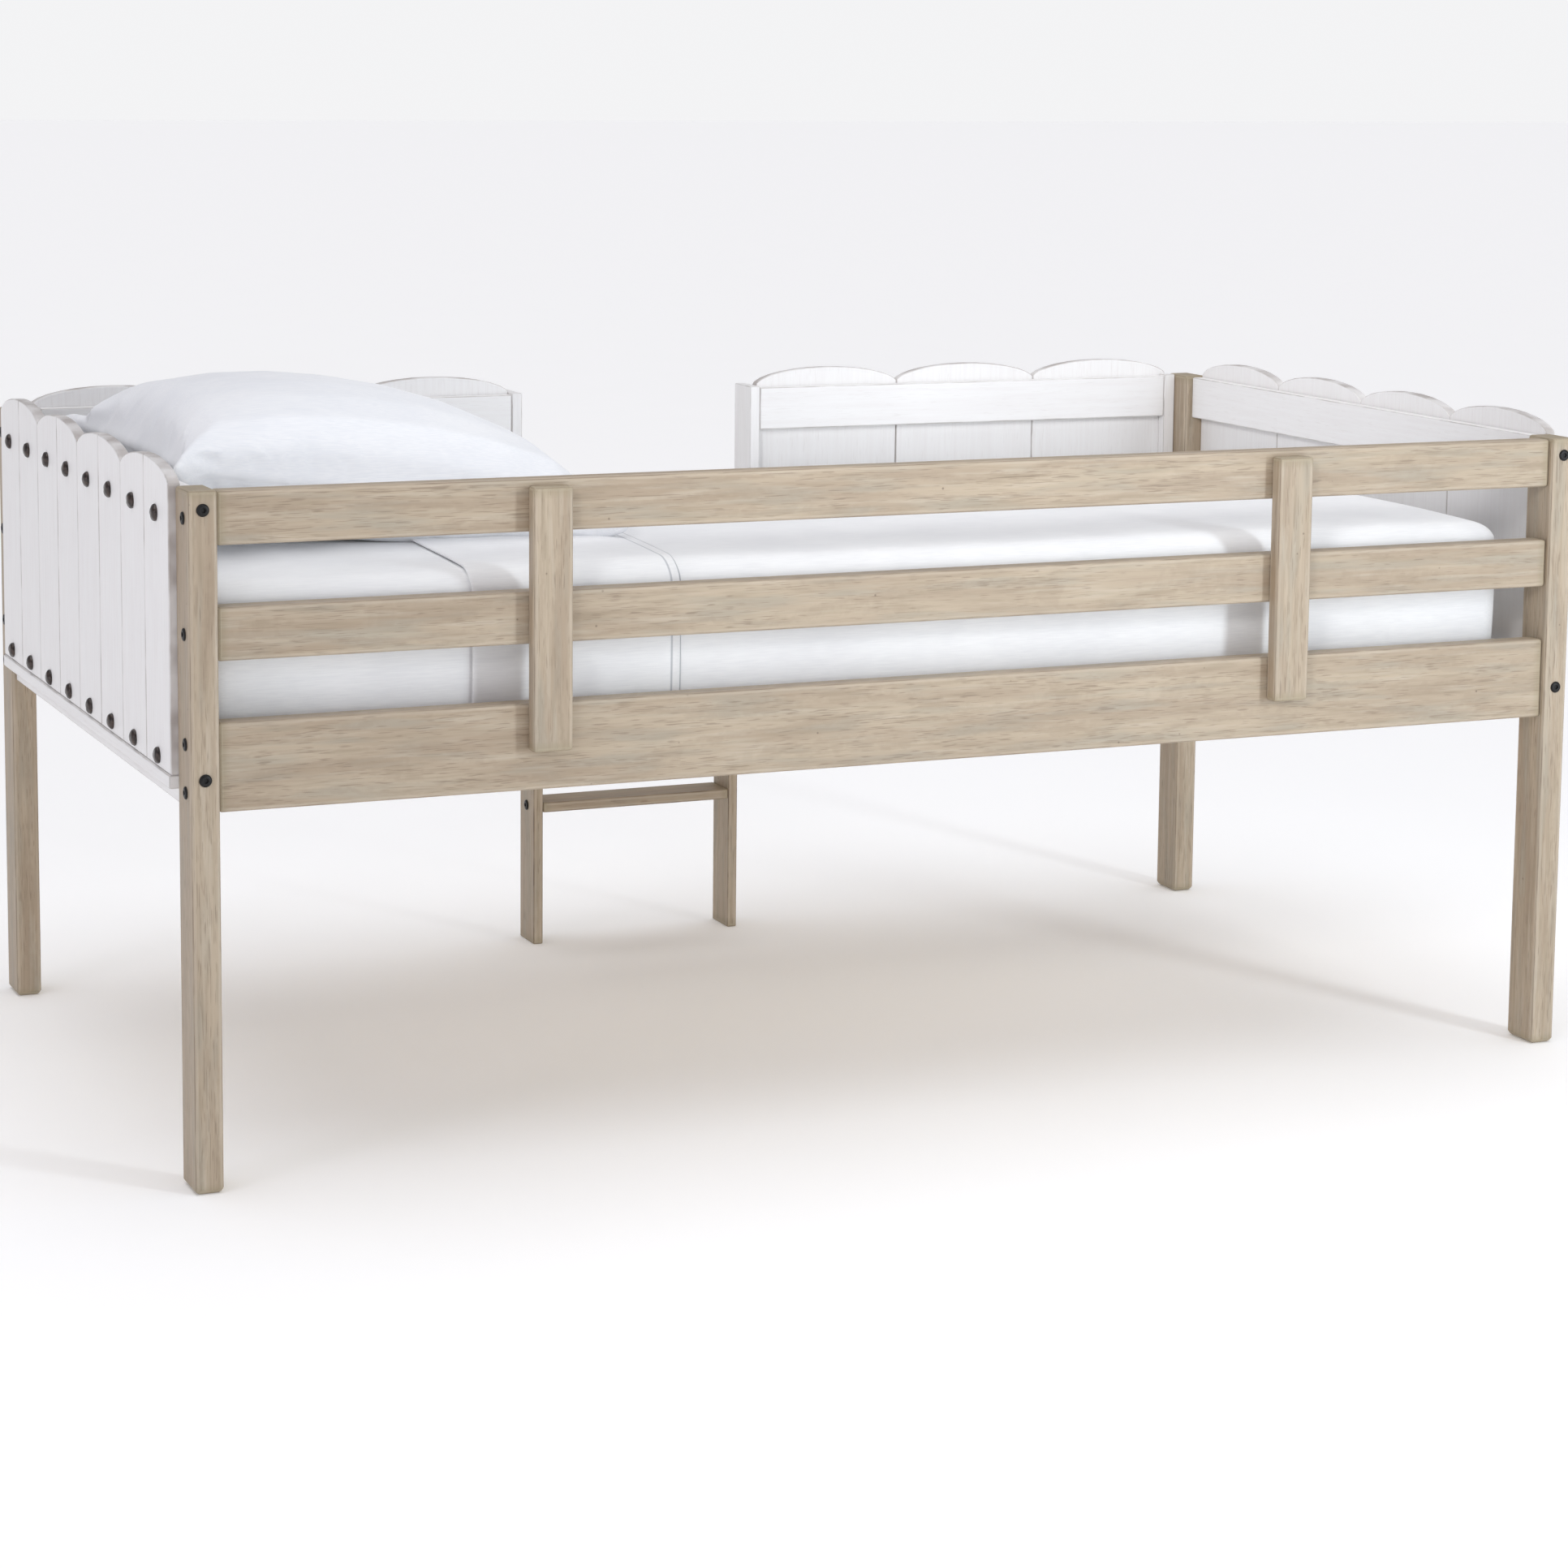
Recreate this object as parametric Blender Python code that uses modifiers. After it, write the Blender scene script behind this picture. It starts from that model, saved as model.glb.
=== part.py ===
"""A low loft bed for a child: pale greige posts and rails round a slatted base, white scalloped board
panels at both ends and along the back, a boarding gap in the back with a short ladder under it, and a
mattress with one pillow. Metres, +Z up. +X runs to the foot end, -Y is the open guard-rail side, and
the origin is on the floor under the middle of the footprint."""

import math

import bmesh
import bpy
from mathutils import Vector

# Overall sizes, over the four posts
LENGTH = 2.000
DEPTH = 1.112
POST_HEIGHT = 0.877

# Posts
POST_X = 0.037
POST_Y = 0.062
POST_FOOT_ROUND = 0.007

# Rails along the bed, set back from the posts' outer faces so that the back boards pass outside them
RAIL_THICKNESS = 0.030
RAIL_TO_BOARD = 0.001
GUARD_RAIL_HEIGHT = 0.067
GUARD_RAIL_DROP = 0.002
SIDE_RAIL_HEIGHT = 0.112
SIDE_RAIL_UNDERSIDE = 0.478

# Upright slats on the outside of the front rails
UPRIGHT_WIDTH = 0.053
UPRIGHT_THICKNESS = 0.023
UPRIGHT_FROM_END = 0.463
UPRIGHT_DROP = 0.0085
UPRIGHT_LAP = 0.060

# Board panels: scalloped boards nailed to the outside of a plain frame
BOARD_THICKNESS = 0.016
BOARD_PROUD = 0.009
BOARD_LIFT = 0.040
SCALLOP_ABOVE_POST = 0.002
SCALLOP_RISE = 0.0245
SCALLOP_FULLNESS = 0.985
SCALLOP_SEGMENTS = 14
END_BOARDS = 4
BACK_BOARDS = 3
GROOVE_WIDTH = 0.003
FRAME_THICKNESS = 0.018
FRAME_TOP_DROP = 0.0025
FRAME_RAIL_HEIGHT = 0.067
END_BOTTOM_RAIL_HEIGHT = 0.087
POST_STILE_WIDTH = 0.020
STILE_LAP = 0.010
TRIM_HEIGHT = 0.017
TRIM_PROUD = 0.002

# Boarding gap in the back, and the jambs on either side of it
OPENING_WIDTH = 0.384
JAMB_WIDTH = 0.017
JAMB_DEPTH = 0.066

# Ladder under the boarding gap
LADDER_SIDE_PLAY = 0.018
LADDER_STILE_WIDTH = 0.016
LADDER_STILE_DEPTH = 0.064
LADDER_LAP = 0.020
TREAD_HEADROOM = 0.023
TREAD_THICKNESS = 0.016
TREAD_COUNT = 2

# Slatted base
CLEAT_WIDTH = 0.024
CLEAT_HEIGHT = 0.032
BASE_SLAT_WIDTH = 0.070
BASE_SLAT_THICKNESS = 0.018
BASE_SLAT_COUNT = 12
BASE_SLAT_LIFT = 0.0705
BASE_SLAT_END_PLAY = 0.002
BASE_SLAT_FROM_END = 0.055

# Mattress and pillow
MATTRESS_HEAD_PLAY = 0.004
MATTRESS_FOOT_PLAY = 0.046
MATTRESS_SIDE_PLAY = 0.028
MATTRESS_THICKNESS = 0.215
MATTRESS_ROUND = 0.030
PILLOW_LENGTH = 0.620
PILLOW_WIDTH = 0.660
PILLOW_HEAD_SEAM = 0.105
PILLOW_FOOT_SEAM = 0.022
PILLOW_RIM = 0.008
PILLOW_CROWN = 0.112
PILLOW_BELLY = 0.070
PILLOW_CELLS = 8
PILLOW_WAIST = 0.04
PILLOW_HEAD_PLAY = 0.010

# Gaps and eased edges
GAP = 0.0003
BOARD_GAP = 0.0006
RAIL_ROUND = 0.004
BOARD_ROUND = 0.0015
TRIM_ROUND = 0.002

# Levels and faces that several pieces share, measured from the frame's middle
POST_INNER_X = LENGTH / 2 - POST_X
POST_INNER_Y = DEPTH / 2 - POST_Y
RAIL_OUTER_Y = DEPTH / 2 + BOARD_PROUD - BOARD_THICKNESS - RAIL_TO_BOARD
RAIL_INNER_Y = RAIL_OUTER_Y - RAIL_THICKNESS
SIDE_RAIL_TOP = SIDE_RAIL_UNDERSIDE + SIDE_RAIL_HEIGHT
GUARD_TOP = POST_HEIGHT - GUARD_RAIL_DROP
PANEL_TOP = POST_HEIGHT - FRAME_TOP_DROP
BOARD_UNDERSIDE = SIDE_RAIL_UNDERSIDE + BOARD_LIFT
SCALLOP_SPRING = POST_HEIGHT + SCALLOP_ABOVE_POST
BOARD_OUTSIDE = BOARD_PROUD
BOARD_INSIDE = BOARD_PROUD - BOARD_THICKNESS
FRAME_INSIDE = BOARD_INSIDE - FRAME_THICKNESS
HEAD_PANEL_FACE = LENGTH / 2 + FRAME_INSIDE
JAMB_FRONT_Y = DEPTH / 2 + FRAME_INSIDE
JAMB_BACK_Y = JAMB_FRONT_Y + JAMB_DEPTH
LADDER_WIDTH = OPENING_WIDTH - 2 * LADDER_SIDE_PLAY
LADDER_FRONT_Y = RAIL_OUTER_Y - LADDER_LAP
LADDER_BACK_Y = LADDER_FRONT_Y + LADDER_STILE_DEPTH
TREAD_RISE = (SIDE_RAIL_UNDERSIDE - TREAD_HEADROOM) / TREAD_COUNT
BASE_SLAT_TOP = SIDE_RAIL_UNDERSIDE + BASE_SLAT_LIFT
MATTRESS_UNDERSIDE = BASE_SLAT_TOP + GAP
MATTRESS_TOP = MATTRESS_UNDERSIDE + MATTRESS_THICKNESS
UPRIGHT_FRONT_Y = RAIL_OUTER_Y + GAP + UPRIGHT_THICKNESS
FRONT_REACH = max(UPRIGHT_FRONT_Y, DEPTH / 2)
BACK_REACH = max(JAMB_BACK_Y, LADDER_BACK_Y, DEPTH / 2 + BOARD_OUTSIDE + TRIM_PROUD)
FOOTPRINT_SHIFT = (FRONT_REACH - BACK_REACH) / 2


def linear(hex_colour):
    """An sRGB hex colour as linear RGBA."""
    channels = [int(hex_colour[i : i + 2], 16) / 255 for i in (1, 3, 5)]
    return [c / 12.92 if c <= 0.04045 else ((c + 0.055) / 1.055) ** 2.4 for c in channels] + [1.0]


def finish(name, hex_colour, roughness):
    """A plain Principled material for one sub-part."""
    material = bpy.data.materials.new(name)
    material.use_nodes = True
    shader = material.node_tree.nodes["Principled BSDF"]
    shader.inputs["Base Color"].default_value = linear(hex_colour)
    shader.inputs["Roughness"].default_value = roughness
    shader.inputs["Metallic"].default_value = 0.0
    material.diffuse_color = linear(hex_colour)
    return material


def clear_scene():
    for obj in list(bpy.data.objects):
        bpy.data.objects.remove(obj, do_unlink=True)


def collection_named(name):
    collection = bpy.data.collections.new(name)
    bpy.context.scene.collection.children.link(collection)
    return collection


def frame_empty(name, parent=None, location=(0, 0, 0)):
    empty = bpy.data.objects.new(name, None)
    empty.location = location
    empty.parent = parent
    BED.objects.link(empty)
    return empty


def place(name, mesh, location, look, parent, rotation=(0, 0, 0)):
    """One named piece of the bed, with its material slot on its mesh or, on a shared mesh, on itself."""
    obj = bpy.data.objects.new(name, mesh)
    obj.location = location
    obj.rotation_euler = rotation
    obj.parent = parent
    if not mesh.materials:
        mesh.materials.append(None)
    obj.material_slots[0].link = "OBJECT"
    obj.material_slots[0].material = look
    BED.objects.link(obj)
    return obj


def ease_edges(obj, width, segments=2):
    bevel = obj.modifiers.new("eased_edges", "BEVEL")
    bevel.width = width
    bevel.segments = segments
    bevel.limit_method = "ANGLE"
    bevel.angle_limit = math.radians(40)
    return obj


def block_mesh(name, size):
    mesh = bpy.data.meshes.new(name)
    shape = bmesh.new()
    bmesh.ops.create_cube(shape, size=1.0)
    bmesh.ops.scale(shape, vec=Vector(size), verts=shape.verts)
    shape.to_mesh(mesh)
    shape.free()
    return mesh


def block(name, low, high, look, parent, ease):
    """A rectangular timber between two opposite corners, with eased edges."""
    size = [b - a for a, b in zip(low, high)]
    middle = [(a + b) / 2 for a, b in zip(low, high)]
    return ease_edges(place(name, block_mesh(name, size), middle, look, parent), ease)


def outline_mesh(name, points, thickness):
    """A closed flat outline in its XY plane, given thickness along Z and made one welded mesh."""
    curve = bpy.data.curves.new(name, "CURVE")
    curve.dimensions = "2D"
    curve.fill_mode = "BOTH"
    curve.extrude = thickness / 2
    spline = curve.splines.new("POLY")
    spline.points.add(len(points) - 1)
    for point, (x, y) in zip(spline.points, points):
        point.co = (x, y, 0, 1)
    spline.use_cyclic_u = True
    guide = bpy.data.objects.new(name, curve)
    BED.objects.link(guide)
    graph = bpy.context.evaluated_depsgraph_get()
    mesh = bpy.data.meshes.new_from_object(guide.evaluated_get(graph))
    bpy.data.objects.remove(guide, do_unlink=True)
    shape = bmesh.new()
    shape.from_mesh(mesh)
    bmesh.ops.remove_doubles(shape, verts=shape.verts, dist=0.0001)
    bmesh.ops.dissolve_limit(shape, angle_limit=0.001, verts=shape.verts, edges=shape.edges)
    bmesh.ops.recalc_face_normals(shape, faces=shape.faces)
    shape.to_mesh(mesh)
    shape.free()
    return mesh


def scallop(across):
    """Height of the scalloped top above its spring line, at across from -1 to 1: an arch whose ends stop
    just short of upright."""
    foot = math.sqrt(1 - SCALLOP_FULLNESS**2)
    return SCALLOP_RISE * (math.sqrt(1 - (SCALLOP_FULLNESS * across) ** 2) - foot) / (1 - foot)


def board_mesh(name, width):
    """A panel board lying in XY with its outer face up, its foot at y = 0, and a groove down its middle."""
    spring = SCALLOP_SPRING - BOARD_UNDERSIDE
    points = [(-width / 2, 0), (width / 2, 0)]
    for step in range(SCALLOP_SEGMENTS + 1):
        across = math.cos(math.pi * step / SCALLOP_SEGMENTS)
        points.append((width / 2 * across, spring + scallop(across)))
    blank = bpy.data.objects.new(name, outline_mesh(name, points, BOARD_THICKNESS))
    blank.location = (0, 0, -BOARD_THICKNESS / 2)
    CUTTERS.objects.link(blank)
    length = 2 * (spring + SCALLOP_RISE)
    bar = block_mesh(name + "_knife", (GROOVE_WIDTH, length, GROOVE_WIDTH))
    knife = bpy.data.objects.new(name + "_knife", bar)
    knife.rotation_euler = (0, math.radians(45), 0)
    CUTTERS.objects.link(knife)
    cut = blank.modifiers.new("groove", "BOOLEAN")
    cut.operation = "DIFFERENCE"
    cut.object = knife
    bpy.context.view_layer.update()
    graph = bpy.context.evaluated_depsgraph_get()
    mesh = bpy.data.meshes.new_from_object(blank.evaluated_get(graph))
    mesh.transform(blank.matrix_world)
    for used in (blank, knife):
        bpy.data.objects.remove(used, do_unlink=True)
    return mesh


def mirrored(low, high, sign):
    """The span from low to high along one axis, or its mirror image for sign -1."""
    return (low, high) if sign > 0 else (-high, -low)


def posts():
    for end, x_sign in (("head", -1), ("foot", 1)):
        for side, y_sign in (("front", -1), ("back", 1)):
            name = f"post_{side}_{end}"
            mesh = block_mesh(name, (POST_X, POST_Y, POST_HEIGHT))
            shape = bmesh.new()
            shape.from_mesh(mesh)
            foot = [e for e in shape.edges if all(v.co.z < 0 for v in e.verts)]
            bmesh.ops.bevel(shape, geom=foot, offset=POST_FOOT_ROUND, segments=2, profile=0.5, affect="EDGES")
            shape.to_mesh(mesh)
            shape.free()
            middle = (x_sign * (LENGTH - POST_X) / 2, y_sign * (DEPTH - POST_Y) / 2, POST_HEIGHT / 2)
            ease_edges(place(name, mesh, middle, GREIGE, FRAME), RAIL_ROUND)


def rail(name, y_sign, low_z, high_z):
    """A rail between the two posts of one long side."""
    y_low, y_high = mirrored(RAIL_INNER_Y, RAIL_OUTER_Y, y_sign)
    reach = POST_INNER_X - GAP
    block(name, (-reach, y_low, low_z), (reach, y_high, high_z), GREIGE, FRAME, RAIL_ROUND)


def long_rails():
    rail("front_side_rail", -1, SIDE_RAIL_UNDERSIDE, SIDE_RAIL_TOP)
    rail("back_side_rail", 1, SIDE_RAIL_UNDERSIDE, SIDE_RAIL_TOP)
    rail("front_guard_rail_top", -1, GUARD_TOP - GUARD_RAIL_HEIGHT, GUARD_TOP)
    middle = (SIDE_RAIL_TOP + GUARD_TOP - GUARD_RAIL_HEIGHT) / 2
    rail("front_guard_rail_middle", -1, middle - GUARD_RAIL_HEIGHT / 2, middle + GUARD_RAIL_HEIGHT / 2)


def uprights():
    """The two upright slats that tie the front rails together on their outer faces."""
    for end, sign in (("head", -1), ("foot", 1)):
        x = sign * (LENGTH / 2 - UPRIGHT_FROM_END)
        low = (x - UPRIGHT_WIDTH / 2, -UPRIGHT_FRONT_Y, SIDE_RAIL_TOP - UPRIGHT_LAP)
        high = (x + UPRIGHT_WIDTH / 2, -RAIL_OUTER_Y - GAP, GUARD_TOP - UPRIGHT_DROP)
        block(f"front_upright_{end}", low, high, GREIGE, FRAME, RAIL_ROUND)


def end_panel(end, sign):
    """Boards, frame rails and trim between the two posts of one end."""
    reach = POST_INNER_Y - GAP
    half = LENGTH / 2

    def cross_rail(name, inside, outside, low_z, high_z, look, ease):
        x_low, x_high = mirrored(half + inside, half + outside, sign)
        block(name, (x_low, -reach, low_z), (x_high, reach, high_z), look, FRAME, ease)

    outside = BOARD_INSIDE - GAP
    top = PANEL_TOP
    cross_rail(f"{end}_top_rail", FRAME_INSIDE, outside, top - FRAME_RAIL_HEIGHT, top, WHITE, TRIM_ROUND)
    low = SIDE_RAIL_UNDERSIDE
    high = low + END_BOTTOM_RAIL_HEIGHT
    cross_rail(f"{end}_bottom_rail", FRAME_INSIDE, outside, low, high, WHITE, TRIM_ROUND)
    trim_top = BOARD_UNDERSIDE - GAP
    proud = BOARD_OUTSIDE + TRIM_PROUD
    cross_rail(f"{end}_trim", BOARD_INSIDE, proud, trim_top - TRIM_HEIGHT, trim_top, WHITE, TRIM_ROUND)
    pitch = (2 * reach + BOARD_GAP) / END_BOARDS
    mesh = board_mesh(f"{end}_board", pitch - BOARD_GAP)
    for number in range(END_BOARDS):
        y = reach + BOARD_GAP / 2 - pitch * (number + 0.5)
        where = (sign * (half + BOARD_OUTSIDE), y, BOARD_UNDERSIDE)
        turn = (math.pi / 2, 0, sign * math.pi / 2)
        board = place(f"{end}_board_{number + 1}", mesh, where, WHITE, FRAME, turn)
        ease_edges(board, BOARD_ROUND, 1)


def notched(name, points, width, x, look):
    """An upright cut to an outline in the YZ plane, with its width along X."""
    mesh = outline_mesh(name, points, width)
    turned = place(name, mesh, (x, 0, 0), look, FRAME, (math.pi / 2, 0, math.pi / 2))
    return ease_edges(turned, TRIM_ROUND)


def back_panel(side, sign):
    """One half of the back: a jamb at the boarding gap, a post stile, two frame rails and the boards."""
    base = SIDE_RAIL_TOP + GAP
    shoulder = RAIL_OUTER_Y + GAP
    jamb = [
        (JAMB_FRONT_Y, base),
        (shoulder, base),
        (shoulder, BOARD_UNDERSIDE),
        (JAMB_BACK_Y, BOARD_UNDERSIDE),
        (JAMB_BACK_Y, POST_HEIGHT),
        (JAMB_FRONT_Y, POST_HEIGHT),
    ]
    notched(f"back_{side}_jamb", jamb, JAMB_WIDTH, sign * (OPENING_WIDTH + JAMB_WIDTH) / 2, WHITE)
    face_low = DEPTH / 2 + FRAME_INSIDE
    face_high = DEPTH / 2 + BOARD_INSIDE - GAP
    post_face = POST_INNER_X - GAP
    stile_face = post_face - POST_STILE_WIDTH
    jamb_face = (OPENING_WIDTH + 2 * JAMB_WIDTH) / 2

    def strip(name, x_span, y_span, z_span):
        x_low, x_high = mirrored(*x_span, sign)
        low = (x_low, y_span[0], z_span[0])
        high = (x_high, y_span[1], z_span[1])
        block(name, low, high, WHITE, FRAME, TRIM_ROUND)

    faces = (face_low, face_high)
    between = (jamb_face + GAP, stile_face - GAP)
    strip(f"back_{side}_stile", (stile_face, post_face), faces, (base, POST_HEIGHT))
    strip(f"back_{side}_top_rail", between, faces, (PANEL_TOP - FRAME_RAIL_HEIGHT, PANEL_TOP))
    strip(f"back_{side}_bottom_rail", between, faces, (base, base + FRAME_RAIL_HEIGHT))
    trim_y = (shoulder, DEPTH / 2 + BOARD_OUTSIDE + TRIM_PROUD)
    trim_z = (BOARD_UNDERSIDE - GAP - TRIM_HEIGHT, BOARD_UNDERSIDE - GAP)
    strip(f"back_{side}_trim", (jamb_face + GAP, post_face), trim_y, trim_z)
    pitch = (stile_face + STILE_LAP - between[0] + BOARD_GAP) / BACK_BOARDS
    mesh = board_mesh(f"back_{side}_board", pitch - BOARD_GAP)
    for number in range(BACK_BOARDS):
        x = sign * (between[0] - BOARD_GAP / 2 + pitch * (number + 0.5))
        where = (x, DEPTH / 2 + BOARD_OUTSIDE, BOARD_UNDERSIDE)
        turn = (math.pi / 2, 0, math.pi)
        board = place(f"back_{side}_board_{number + 1}", mesh, where, WHITE, FRAME, turn)
        ease_edges(board, BOARD_ROUND, 1)


def ladder():
    """Two stiles cut to lap the outside of the back side rail, with flat treads between them."""
    under = SIDE_RAIL_UNDERSIDE - GAP
    shoulder = RAIL_OUTER_Y + GAP
    stile = [
        (LADDER_FRONT_Y, 0),
        (LADDER_BACK_Y, 0),
        (LADDER_BACK_Y, SIDE_RAIL_TOP),
        (shoulder, SIDE_RAIL_TOP),
        (shoulder, under),
        (LADDER_FRONT_Y, under),
    ]
    for side, sign in (("head", -1), ("foot", 1)):
        x = sign * (LADDER_WIDTH - LADDER_STILE_WIDTH) / 2
        notched(f"ladder_stile_{side}", stile, LADDER_STILE_WIDTH, x, GREIGE)
    reach = LADDER_WIDTH / 2 - LADDER_STILE_WIDTH - GAP
    for number in range(1, TREAD_COUNT + 1):
        top = TREAD_RISE * number
        low = (-reach, LADDER_FRONT_Y, top - TREAD_THICKNESS)
        high = (reach, LADDER_BACK_Y, top)
        block(f"ladder_tread_{number}", low, high, GREIGE, FRAME, TRIM_ROUND)


def slatted_base():
    """A cleat inside each side rail, and the slats that rest on them."""
    underside = BASE_SLAT_TOP - BASE_SLAT_THICKNESS
    cleat_top = underside - GAP
    reach = POST_INNER_X - GAP
    for side, sign in (("front", -1), ("back", 1)):
        y_low, y_high = mirrored(RAIL_INNER_Y - GAP - CLEAT_WIDTH, RAIL_INNER_Y - GAP, sign)
        low = (-reach, y_low, cleat_top - CLEAT_HEIGHT)
        block(f"{side}_cleat", low, (reach, y_high, cleat_top), PINE, FRAME, TRIM_ROUND)
    half = RAIL_INNER_Y - BASE_SLAT_END_PLAY
    first = POST_INNER_X - BASE_SLAT_FROM_END
    for number in range(BASE_SLAT_COUNT):
        x = -first + 2 * first * number / (BASE_SLAT_COUNT - 1)
        low = (x - BASE_SLAT_WIDTH / 2, -half, underside)
        high = (x + BASE_SLAT_WIDTH / 2, half, BASE_SLAT_TOP)
        block(f"base_slat_{number + 1:02d}", low, high, PINE, FRAME, TRIM_ROUND)


def mattress(parent):
    """The mattress, pushed up to the head panel and loose between the side rails."""
    head = -HEAD_PANEL_FACE + MATTRESS_HEAD_PLAY
    side = RAIL_INNER_Y - MATTRESS_SIDE_PLAY
    low = (head, -side, MATTRESS_UNDERSIDE)
    high = (HEAD_PANEL_FACE - MATTRESS_FOOT_PLAY, side, MATTRESS_TOP)
    block("mattress", low, high, COTTON, parent, MATTRESS_ROUND)


def pillow(parent):
    """A plump pillow lying back against the head panel: a gridded cage, crowned above its seam, flatter
    below, with its sides drawn in between the corners and its underside on the mattress."""
    mesh = bpy.data.meshes.new("pillow")
    shape = bmesh.new()
    bmesh.ops.create_cube(shape, size=2.0)
    bmesh.ops.subdivide_edges(shape, edges=shape.edges, cuts=PILLOW_CELLS - 1, use_grid_fill=True)
    bed = MATTRESS_TOP + GAP
    for corner in shape.verts:
        u, v, w = corner.co
        fill = ((1 - u**2) * (1 - v**2)) ** 0.5
        seam = bed + PILLOW_HEAD_SEAM + (PILLOW_FOOT_SEAM - PILLOW_HEAD_SEAM) * (u + 1) / 2
        swell = PILLOW_CROWN if w > 0 else PILLOW_BELLY
        z = seam + w * (PILLOW_RIM + swell * fill)
        corner.co.x = u * PILLOW_LENGTH / 2 * (1 - PILLOW_WAIST * (1 - v**2))
        corner.co.y = v * PILLOW_WIDTH / 2 * (1 - PILLOW_WAIST * (1 - u**2))
        corner.co.z = max(z, bed) - bed
    shape.to_mesh(mesh)
    shape.free()
    x = -HEAD_PANEL_FACE + PILLOW_HEAD_PLAY + PILLOW_LENGTH / 2
    cushion = place("pillow", mesh, (x, 0, bed), COTTON, parent)
    for face in mesh.polygons:
        face.use_smooth = True
    return cushion


clear_scene()
BED = collection_named("loft_bed")
CUTTERS = collection_named("cutters")
CUTTERS.hide_render = True
GREIGE = finish("washed_greige_hardwood", "#BEB098", 0.5)
WHITE = finish("brushed_white_paint", "#ECEAE9", 0.5)
PINE = finish("planed_pine", "#D8C09A", 0.6)
COTTON = finish("white_cotton", "#F2F2F3", 0.9)
FRAME = frame_empty("bed_frame", None, (0, FOOTPRINT_SHIFT, 0))
MATTRESS_LIFT = frame_empty("mattress_lift", FRAME)
PILLOW_LIFT = frame_empty("pillow_lift", MATTRESS_LIFT)
posts()
long_rails()
uprights()
for end_name, end_sign in (("head", -1), ("foot", 1)):
    end_panel(end_name, end_sign)
    back_panel(end_name, end_sign)
ladder()
slatted_base()
mattress(MATTRESS_LIFT)
pillow(PILLOW_LIFT)
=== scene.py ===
"""The looks of a low loft bed: washed greige timber, white painted board panels, antique nails, black
bolts, a made-up mattress and a pillow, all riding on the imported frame. Metres, +Z up, +X to the foot."""

import math

import bmesh
import bpy
from mathutils import Matrix, Vector, noise


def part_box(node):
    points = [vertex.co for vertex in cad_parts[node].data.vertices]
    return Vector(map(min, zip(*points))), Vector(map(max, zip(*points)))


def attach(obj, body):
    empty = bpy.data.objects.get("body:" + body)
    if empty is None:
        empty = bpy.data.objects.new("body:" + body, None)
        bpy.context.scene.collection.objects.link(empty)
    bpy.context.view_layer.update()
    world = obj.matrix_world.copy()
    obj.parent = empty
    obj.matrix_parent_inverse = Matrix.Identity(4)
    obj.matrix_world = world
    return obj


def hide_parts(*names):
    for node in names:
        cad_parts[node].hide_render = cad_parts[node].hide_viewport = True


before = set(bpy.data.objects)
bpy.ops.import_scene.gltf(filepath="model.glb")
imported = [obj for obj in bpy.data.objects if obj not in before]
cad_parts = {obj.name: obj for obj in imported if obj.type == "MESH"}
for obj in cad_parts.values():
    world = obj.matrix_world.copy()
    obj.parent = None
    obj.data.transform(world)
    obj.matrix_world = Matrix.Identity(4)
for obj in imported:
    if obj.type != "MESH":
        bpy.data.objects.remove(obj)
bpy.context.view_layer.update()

MM = 0.001
AXES = {"x": 0, "y": 1, "z": 2}

# Repeated from the part: the arch of a board's top and the groove down its middle
SCALLOP_RISE = 0.0245
SCALLOP_FULLNESS = 0.985
GROOVE_WIDTH = 0.003

# The camera, which stands in front of the head end and looks a little down
CAMERA_AT = (-2.118, -4.966, 1.416)
CAMERA_YAW = math.radians(23.38)
CAMERA_PITCH = math.radians(7.65)
CAMERA_ROLL = math.radians(0.57)
CAMERA_LENS = 86.07
CAMERA_SHIFT = -0.15


# ---------------------------------------------------------------- shader building

def linear(hex_colour):
    """An sRGB hex colour as linear RGBA."""
    channels = [int(hex_colour[i : i + 2], 16) / 255 for i in (1, 3, 5)]
    return [c / 12.92 if c <= 0.04045 else ((c + 0.055) / 1.055) ** 2.4 for c in channels] + [1.0]


def add(tree, kind, inputs=None, **settings):
    """Adds a node, with its settings, and each input either linked to a socket or set to a value."""
    node = tree.nodes.new("ShaderNode" + kind)
    for setting, value in settings.items():
        setattr(node, setting, value)
    for key, value in (inputs or {}).items():
        if isinstance(value, bpy.types.NodeSocket):
            tree.links.new(value, node.inputs[key])
        else:
            node.inputs[key].default_value = value
    return node


def maths(tree, operation, *values):
    """One to three values worked on by a Math node."""
    return add(tree, "Math", dict(enumerate(values)), operation=operation).outputs[0]


def remap(tree, value, start, end, low=0.0, high=1.0):
    """A value carried from the range start..end to low..high, and held inside that."""
    return add(tree, "MapRange", {0: value, 1: start, 2: end, 3: low, 4: high}).outputs[0]


def blend(tree, share, ground, cover):
    """Two colours mixed, by the share of the second."""
    return add(tree, "Mix", {0: share, 6: ground, 7: cover}, data_type="RGBA").outputs[2]


def tone_ramp(tree, value, *stops):
    """A colour that follows a value through stops, each a position and an sRGB hex colour."""
    node = add(tree, "ValToRGB", {"Fac": value})
    elements = node.color_ramp.elements
    for position, _ in stops[2:]:
        elements.new(position)
    for element, (position, hex_colour) in zip(elements, stops):
        element.position, element.color = position, linear(hex_colour)
    return node.outputs[0]


def relief(tree, shader, height, strength, distance):
    """Raises a shader's surface by a height pattern."""
    bump = add(tree, "Bump", {"Height": height, "Strength": strength, "Distance": distance})
    tree.links.new(bump.outputs[0], shader.inputs["Normal"])


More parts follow.
